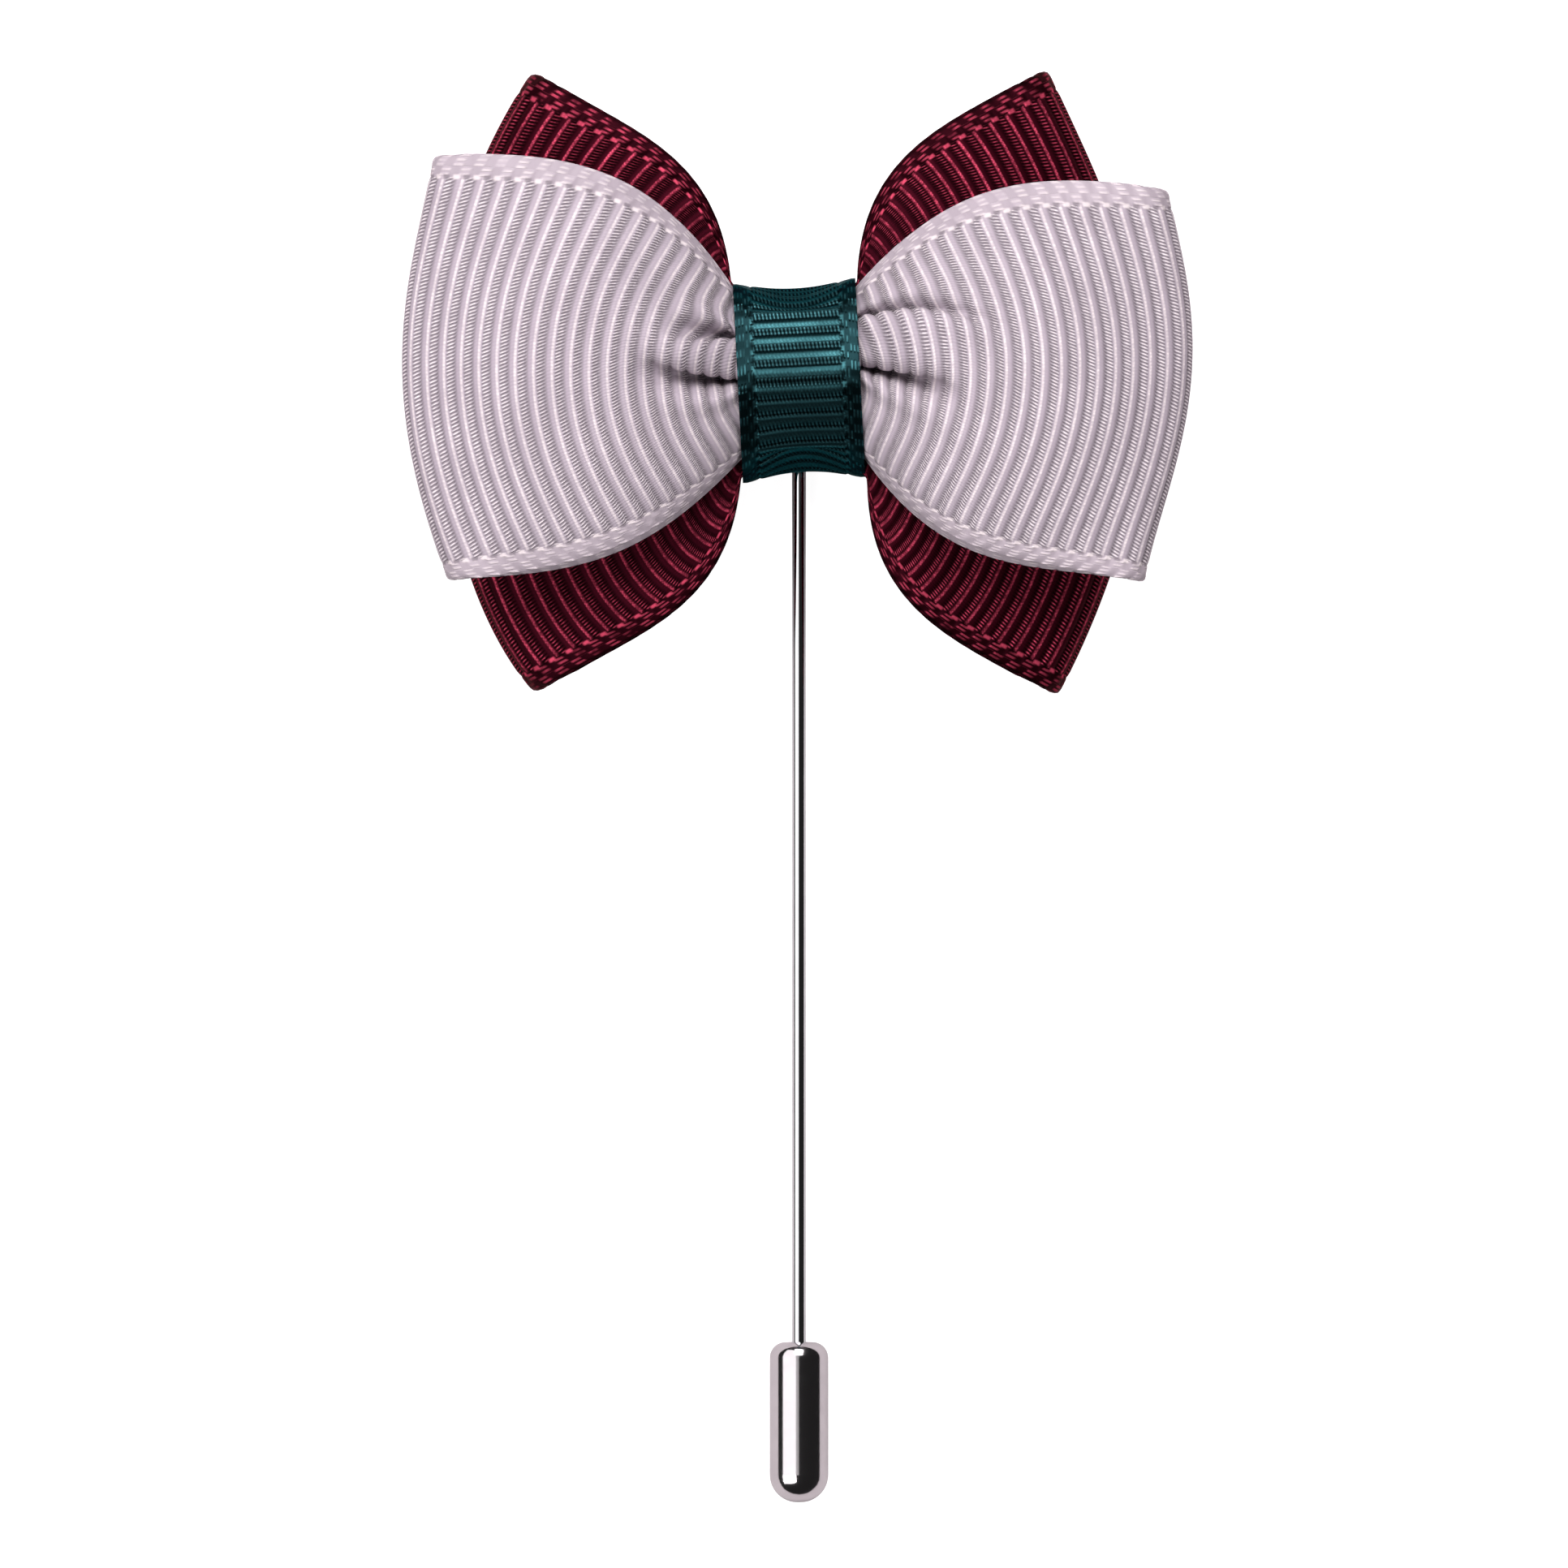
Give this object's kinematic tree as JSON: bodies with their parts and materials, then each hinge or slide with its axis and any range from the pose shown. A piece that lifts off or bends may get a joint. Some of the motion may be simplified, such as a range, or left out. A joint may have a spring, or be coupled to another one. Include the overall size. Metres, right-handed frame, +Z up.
{
  "type": "bow stick pin brooch",
  "caption": "Ribbon bow brooch on a long stick pin, with a bullet-shaped cap that slides off the pin's point.",
  "frame": {"origin": "on the surface that the brooch lies on, under the middle of its length, in line with the pin's axis", "axes": "+X to the right along the bow, +Y up the pin towards the bow, +Z up from the surface, the way the bow faces"},
  "size_m": [0.0456, 0.083, 0.014],
  "materials": {
    "front_ribbon": "ribbed grosgrain ribbon, pale lavender grey",
    "back_ribbon": "ribbed grosgrain ribbon, burgundy with a silky sheen",
    "wrap_ribbon": "ribbed grosgrain ribbon, dark teal green",
    "pin_metal": "polished steel",
    "cap_metal": "polished nickel plate"
  },
  "bodies": {
    "brooch": {"front_bow": "front_ribbon", "back_bow": "back_ribbon", "knot_wrap": "wrap_ribbon", "stick_pin": "pin_metal"},
    "cap": {"pin_cap": "cap_metal"}
  },
  "joints": [
    {"name": "cap_slide", "type": "slide", "parent": "brooch", "child": "cap", "axis": [0, -1, 0], "range_m": [0, 0.02]}
  ]
}
